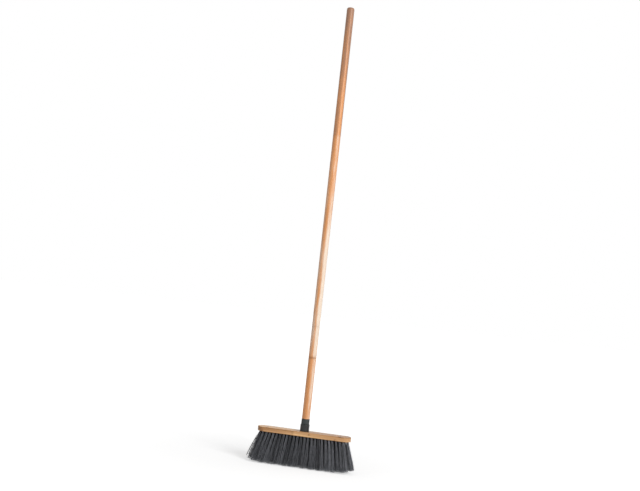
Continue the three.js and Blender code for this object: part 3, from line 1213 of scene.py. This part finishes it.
@dataclass(frozen=True)
class Board:
    """The bamboo board with its drilled tuft holes and screw holes."""

    tuft_field: TuftField
    half_straight: float = 113.0 * MM
    end_radius: float = 21.0 * MM
    low: float = 87.0 * MM
    high: float = 100.0 * MM
    edge_round: float = 1.5 * MM
    edge_steps: int = 6
    face_inset: float = 0.5 * MM
    arc_steps: int = 32
    screw_place: float = 9.8 * MM
    head_hole: float = 3.6 * MM
    head_seat: float = 90.0 * MM
    shank_hole: float = 2.05 * MM
    overrun: float = 1.0 * MM
    facets: int = 14

    def build(self) -> None:
        """Builds, drills and seats the board."""
        piece = self.blank()
        drilled_board().run(piece, {**as_inputs(vars(self)), "Material": BLOCK_FINISH.material()})
        drop_marks(piece, "bore_radius", "bore_depth")
        smooth(piece)
        seat(piece, "head", "bamboo_block", "brush_block")

    def ring(self, inset: float, height: float) -> list[Vector]:
        """Returns the board's outline at a height, drawn in by an inset."""
        radius = self.end_radius - inset
        points = []
        for side in (1, -1):
            for step in range(self.arc_steps + 1):
                angle = math.pi * (step / self.arc_steps - 0.5)
                along = self.half_straight + radius * math.cos(angle)
                points.append(Vector((side * along, side * radius * math.sin(angle), height)))
        return points

    def bores(self) -> list[Bore]:
        """Lists the board's bores."""
        radius, depth = self.tuft_field.hole_radius, self.tuft_field.hole_depth
        tufts = [tuft for row in Row for tuft in self.tuft_field.tufts(row)]
        bores = [Bore(tuft.root, radius, depth) for tuft in tufts]
        through = self.high - self.head_seat + self.overrun
        for x in (-self.screw_place, self.screw_place):
            bores.append(Bore(Vector((x, 0.0, self.low)), self.head_hole, self.head_seat - self.low))
            bores.append(Bore(Vector((x, 0.0, self.head_seat)), self.shank_hole, through))
        return bores

    def blank(self) -> bpy.types.Object:
        """Builds the undrilled board, with a loose point where each bore starts.

        Returns:
            The board with the bores' sizes as attributes.
        """
        shape = bmesh.new()
        profile = [(self.edge_round + self.face_inset, self.low)]
        for step in range(self.edge_steps + 1):
            angle = math.pi / 2 * step / self.edge_steps
            inset = self.edge_round * (1 - math.sin(angle))
            profile.append((inset, self.low + self.edge_round * (1 - math.cos(angle))))
        profile += [(inset, self.low + self.high - height) for inset, height in reversed(profile)]
        rings = [[shape.verts.new(point) for point in self.ring(*step)] for step in profile]
        bridge(shape, rings)
        shape.faces.new(rings[0])
        shape.faces.new(rings[-1])
        bmesh.ops.recalc_face_normals(shape, faces=shape.faces)
        solid = len(shape.verts)
        bores = self.bores()
        for bore in bores:
            shape.verts.new(bore.start)
        piece = piece_from(shape, "board")
        mark_points(piece, "bore_radius", [bore.radius for bore in bores], first=solid)
        mark_points(piece, "bore_depth", [bore.depth for bore in bores], first=solid)
        return piece


@cache
def bristle_row() -> GeometryTree:
    """Builds the tree that grows a tuft of filaments from each point of a row.

    Returns:
        The tree. Each point has the way to its tuft's tip as the attribute lean, the share of its
        filaments that stand off to one side as fray, and, in a third attribute, how pale they may be:
        painted shade that keeps the inner rows' tufts dark.
    """
    gathered, own_tone, tuft_tone, shortest, taper = -0.8, 0.75, 0.25, 0.1 * MM, -0.25
    splays = ("Root Radius", "Spread Along", "Spread Across", "Late Splay", "Wander", "Tuft Wander", "Bow")
    trims = ("Trim Middle", "End Rise", "Rise Power", "Tip Reach", "Ragged", "Tuft Ragged")
    strays = ("Stray Share", "Stray Reach", "Fray Reach", "Fray Bow", "Fray Rise")
    numbers = dict.fromkeys((*splays, *trims, *strays, "Thickness", "Rooted"), Kind.NUMBER)
    counts = dict.fromkeys(("Filaments", "Points", "Seed"), Kind.COUNT)
    tree = GeometryTree("bristle_row", numbers | counts)
    size = tree.inputs
    index = tree.node("GeometryNodeInputIndex").outputs[0]
    place = tree.place()

    tufts = tree.node("GeometryNodeMeshToPoints", {"Mesh": size["Geometry"]})
    feeds = {"Geometry": tufts, "Amount": size["Filaments"]}
    filaments = tree.node("GeometryNodeDuplicateElements", feeds, domain="POINT")
    number = filaments.outputs["Duplicate Index"]
    tuft = tree.group_of(index, size["Filaments"])
    lean = tree.attribute("lean", "FLOAT_VECTOR")
    rho = tree.math("SQRT", tree.math("DIVIDE", tree.math("ADD", number, 0.5), size["Filaments"]))
    phi = tree.total(tree.chance(0.0, 2 * math.pi, 1, tuft), (number, GOLDEN_ANGLE))
    disc_x = tree.math("MULTIPLY", rho, tree.math("COSINE", phi))
    disc_y = tree.math("MULTIPLY", rho, tree.math("SINE", phi))
    disc = tree.join(disc_x, disc_y, 0.0)

    root = tree.vector("ADD", place, tree.scaled(disc, size["Root Radius"]))
    root = tree.vector("SUBTRACT", root, tree.scaled(lean, size["Rooted"]))
    splay = tree.vector("MULTIPLY", disc, tree.join(size["Spread Along"], size["Spread Across"], 0.0))
    stray = tree.math("LESS_THAN", tree.chance(0.0, 1.0, 2), size["Stray Share"])
    splay = tree.scaled(splay, tree.total(1.0, (stray, size["Stray Reach"])))
    frayed = tree.math("LESS_THAN", tree.chance(0.0, 1.0, 9), tree.attribute("fray"))
    tight = tree.total(1.0, (frayed, gathered))
    splay = tree.scaled(splay, tight)
    splay = tree.vector("ADD", splay, tree.join(tree.math("MULTIPLY", frayed, size["Fray Reach"]), 0.0, 0.0))
    tip = tree.vector("ADD", tree.vector("ADD", place, lean), splay)
    wander = tree.math("MULTIPLY", size["Wander"], tight)
    tip = tree.vector("ADD", tip, tree.scaled(tree.scatter(3), wander))
    tip = tree.vector("ADD", tip, tree.scaled(tree.scatter(4, tuft), size["Tuft Wander"]))
    tip_x, tip_y, _ = tree.split(tip)
    off_middle = tree.math("SUBTRACT", tip_x, size["Trim Middle"])
    share = tree.math("ABSOLUTE", tree.math("DIVIDE", off_middle, size["Tip Reach"]))
    trim = tree.math("MULTIPLY", tree.math("POWER", share, size["Rise Power"]), size["End Rise"])
    trim = tree.math("ADD", trim, tree.chance(shortest, size["Ragged"], 5))
    trim = tree.math("ADD", trim, tree.chance(0.0, size["Tuft Ragged"], 10, tuft))
    tip = tree.join(tip_x, tip_y, tree.total(trim, (frayed, size["Fray Rise"])))
    bow = tree.scaled(tree.scatter(6), size["Bow"])
    bow = tree.vector("SUBTRACT", bow, tree.scaled(splay, size["Late Splay"]))
    bow = tree.vector("ADD", bow, tree.join(tree.math("MULTIPLY", frayed, size["Fray Bow"]), 0.0, 0.0))
    tone = tree.math("MULTIPLY", tree.chance(0.0, 1.0, 7), own_tone)
    tone = tree.total(tone, (tree.chance(0.0, 1.0, 8, tuft), tuft_tone))
    # Painted shade: the inner rows' filaments are made darker in colour, for the shade that falls between the
    # rows.
    tone = tree.math("MULTIPLY", tree.math("MULTIPLY", tone, tight), tree.attribute("row_shade"))

    kept = tree.node("GeometryNodeCaptureAttribute", {"Geometry": filaments}, domain="POINT")
    for name, value in {"root": root, "tip": tip, "bow": bow, "tone": tone}.items():
        kept.capture_items.new("FLOAT" if name == "tone" else "VECTOR", name)
        tree.feed(kept.inputs[name], value)
    feeds = {"Geometry": kept, "Amount": size["Points"]}
    points = tree.node("GeometryNodeDuplicateElements", feeds, domain="POINT")
    steps = tree.math("SUBTRACT", size["Points"], 1.0)
    along = tree.math("DIVIDE", points.outputs["Duplicate Index"], steps)
    way = tree.vector("SUBTRACT", kept.outputs["tip"], kept.outputs["root"])
    at = tree.vector("ADD", kept.outputs["root"], tree.scaled(way, along))
    arch = tree.math("MULTIPLY", tree.math("SUBTRACT", 1.0, along), tree.math("MULTIPLY", along, 4.0))
    at = tree.vector("ADD", at, tree.scaled(kept.outputs["bow"], arch))
    laid = tree.node("GeometryNodeSetPosition", {"Geometry": points, "Position": at})
    laid = tree.store(tree.store(laid, "tone", kept.outputs["tone"]), "along", along)
    owner = tree.group_of(index, size["Points"])
    curves = tree.node("GeometryNodePointsToCurves", {"Points": laid, "Curve Group ID": owner})
    section = {"Resolution": 3, "Radius": tree.math("MULTIPLY", size["Thickness"], 0.5)}
    section = tree.node("GeometryNodeCurvePrimitiveCircle", section)
    width = tree.total(1.0, (tree.attribute("along"), taper))
    feeds = {"Curve": curves, "Profile Curve": section, "Scale": width, "Fill Caps": True}
    skin = tree.node("GeometryNodeCurveToMesh", feeds)
    return tree.close(tree.node("GeometryNodeSetShadeSmooth", {"Geometry": skin, "Shade Smooth": True}))


@dataclass(frozen=True)
class Bristles:
    """The four rows of tufts."""

    tuft_field: TuftField
    filaments: int = 90
    points: int = 6
    root_radius: float = 2.8 * MM
    spread_along: float = 6.8 * MM
    spread_across: float = 6.8 * MM
    late_splay: float = 0.03
    wander: float = 1.1 * MM
    tuft_wander: float = 1.5 * MM
    thickness: float = 0.46 * MM
    bow: float = 0.9 * MM
    trim_middle: float = -10.0 * MM
    end_rise: float = 6.0 * MM
    rise_power: float = 5.0
    ragged: float = 2.2 * MM
    tuft_ragged: float = 1.8 * MM
    rooted: float = 0.045
    stray_share: float = 0.025
    stray_reach: float = 0.7
    fray_share: float = 0.17
    fray_reach: float = -10.5 * MM
    fray_bow: float = -3.0 * MM
    fray_rise: float = 6.0 * MM
    # Painted shade of the inner rows' tufts; the end tufts of those rows are spared it.
    inner_tint: float = 0.05
    end_tufts: int = 2
    seed: int = 11
    row_seeds: int = 20

    def build(self) -> None:
        """Builds and seats the rows."""
        finish = BRISTLE_FINISH.material()
        for place, row in enumerate(Row):
            self.row(row, self.seed + self.row_seeds * place, finish)

    def row(self, row: Row, seed: int, finish: bpy.types.Material) -> None:
        """Builds one row.

        Args:
            row: The row.
            seed: The seed of its filaments.
            finish: Its material.
        """
        tufts = self.tuft_field.tufts(row)
        shape = bmesh.new()
        for tuft in tufts:
            shape.verts.new(tuft.root)
        piece = piece_from(shape, f"bristles_{row.name.lower()}")
        inner = row in (Row.MID_FRONT, Row.MID_BACK)
        from_end = [min(place, len(tufts) - 1 - place) for place in range(len(tufts))]
        # Painted shade: the inner rows, apart from their end tufts, get a dark colour for the shade between
        # the rows.
        row_shades = [self.inner_tint if inner and step >= self.end_tufts else 1.0 for step in from_end]
        mark_points(piece, "lean", [tuft.lean for tuft in tufts])
        mark_points(piece, "fray", [self.fray_share if inner else 0.0])
        mark_points(piece, "row_shade", row_shades)
        bristle_row().run(piece, {
            **as_inputs(vars(self)),
            "Tip Reach": self.tuft_field.tip_reach,
            "Seed": seed,
            "Material": finish,
        })
        drop_marks(piece, "lean", "fray", "row_shade")
        seat(piece, "head", "bristle", f"tuft_row_{row.name.lower()}")


# Studio


class SoftBox(NamedTuple):
    """A soft square lamp."""

    name: str
    place: tuple[float, float, float]
    aim: tuple[float, float, float]
    width: float
    watts: float


@dataclass(frozen=True)
class Studio:
    """The floor, the white surroundings, the lamps and the camera."""

    floor_half: float = 30.0
    floor_drop: float = 0.2 * MM
    floor_colour: str = "f2f2f2"
    glow_near: float = 0.1
    glow_far: float = 1.6
    near_glow: float = 0.5
    far_glow: float = 0.85
    world_light: float = 0.3
    lamps: tuple[SoftBox, ...] = (
        SoftBox("key_lamp", (3.4, -3.2, 2.4), (0.0, 0.0, 0.6), 2.2, 150.0),
        SoftBox("fill_lamp", (-2.4, -2.6, 1.5), (0.0, 0.0, 0.5), 1.8, 4.0),
    )
    distance: float = 2.7
    azimuth: float = math.radians(-10.0)
    elevation: float = math.radians(-3.5)
    roll: float = math.radians(6.294)
    aim_along: float = -0.0136
    aim_height: float = 0.6269
    lens: float = 53.17
    sensor: float = 36.0

    def build(self) -> None:
        """Builds the studio."""
        bpy.context.scene.view_settings.view_transform = "Standard"
        self.floor()
        self.world()
        for lamp in self.lamps:
            self.lamp(lamp)
        self.camera()

    @staticmethod
    def seen(wiring: Wiring) -> Socket:
        """Returns 1 for rays that look at the surroundings, straight or by reflection, and 0 for light."""
        path = wiring.node("ShaderNodeLightPath").outputs
        straight = wiring.math("MAXIMUM", path["Is Camera Ray"], path["Is Glossy Ray"])
        return wiring.math("MAXIMUM", straight, path["Is Transmission Ray"])

    def floor(self) -> None:
        """Lays the pale floor, which turns to plain white away from the broom and keeps its shadow."""
        shape = bmesh.new()
        bmesh.ops.create_grid(shape, x_segments=1, y_segments=1, size=self.floor_half)
        bmesh.ops.translate(shape, verts=shape.verts, vec=(0.0, 0.0, -self.floor_drop))
        piece = piece_from(shape, "studio_floor")
        material = bpy.data.materials.new("pale_floor")
        material.use_nodes = True
        wiring = ShaderWiring(material.node_tree)
        wiring.tree.nodes.clear()
        away = wiring.length(wiring.node("ShaderNodeTexCoord").outputs["Object"])
        glow = wiring.ramp(away, self.glow_near, self.glow_far, self.near_glow, self.far_glow)
        glow = wiring.math("MULTIPLY", glow, self.seen(wiring))
        lit = wiring.node("ShaderNodeBsdfDiffuse", {"Color": paint(self.floor_colour)})
        white = wiring.node("ShaderNodeEmission", {"Strength": glow})
        both = wiring.node("ShaderNodeAddShader", {0: lit, 1: white})
        wiring.node("ShaderNodeOutputMaterial", {"Surface": both})
        dress(piece, material)

    def world(self) -> None:
        """Surrounds the broom with white."""
        world = bpy.data.worlds.new("white_studio")
        world.use_nodes = True
        wiring = ShaderWiring(world.node_tree)
        wiring.tree.nodes.clear()
        strength = wiring.total(self.world_light, (self.seen(wiring), 1.0 - self.world_light))
        sky = wiring.node("ShaderNodeBackground", {"Color": (1.0, 1.0, 1.0, 1.0), "Strength": strength})
        wiring.node("ShaderNodeOutputWorld", {"Surface": sky})
        bpy.context.scene.world = world

    def lamp(self, lamp: SoftBox) -> None:
        """Hangs one lamp and turns it to its aim."""
        light = bpy.data.lights.new(lamp.name, "AREA")
        light.size = lamp.width
        light.energy = lamp.watts
        hung = bpy.data.objects.new(lamp.name, light)
        hung.location = lamp.place
        hung.rotation_euler = (Vector(lamp.aim) - Vector(lamp.place)).to_track_quat("-Z", "Y").to_euler()
        bpy.context.scene.collection.objects.link(hung)

    def camera(self) -> None:
        """Sets the camera at the photograph's angle, rolled as the broom leans in it."""
        across, ahead = math.sin(self.azimuth), math.cos(self.azimuth)
        level = math.cos(self.elevation)
        look = Vector((across * level, ahead * level, -math.sin(self.elevation)))
        aim = Vector((ahead, -across, 0.0)) * self.aim_along
        aim.z = self.aim_height
        right = look.cross(Vector((0.0, 0.0, 1.0))).normalized()
        up = right.cross(look)
        side = right * math.cos(self.roll) + up * math.sin(self.roll)
        head = up * math.cos(self.roll) - right * math.sin(self.roll)
        turn = Matrix((side, head, -look)).transposed().to_4x4()
        lens = bpy.data.cameras.new("photo_camera")
        lens.sensor_fit = "HORIZONTAL"
        lens.sensor_width = self.sensor
        lens.lens = self.lens
        camera = bpy.data.objects.new("photo_camera", lens)
        camera.matrix_world = Matrix.Translation(aim - look * self.distance) @ turn
        bpy.context.scene.collection.objects.link(camera)
        bpy.context.scene.camera = camera


def main() -> None:
    """Builds the studio and the broom."""
    logging.basicConfig(level=logging.INFO, format="%(name)s: %(message)s")
    Studio().build()
    tuft_field = TuftField()
    for assembly in (Handle(), Sleeve(), HandleCup(), Board(tuft_field), Bristles(tuft_field)):
        assembly.build()


if __name__ == "__main__":
    main()
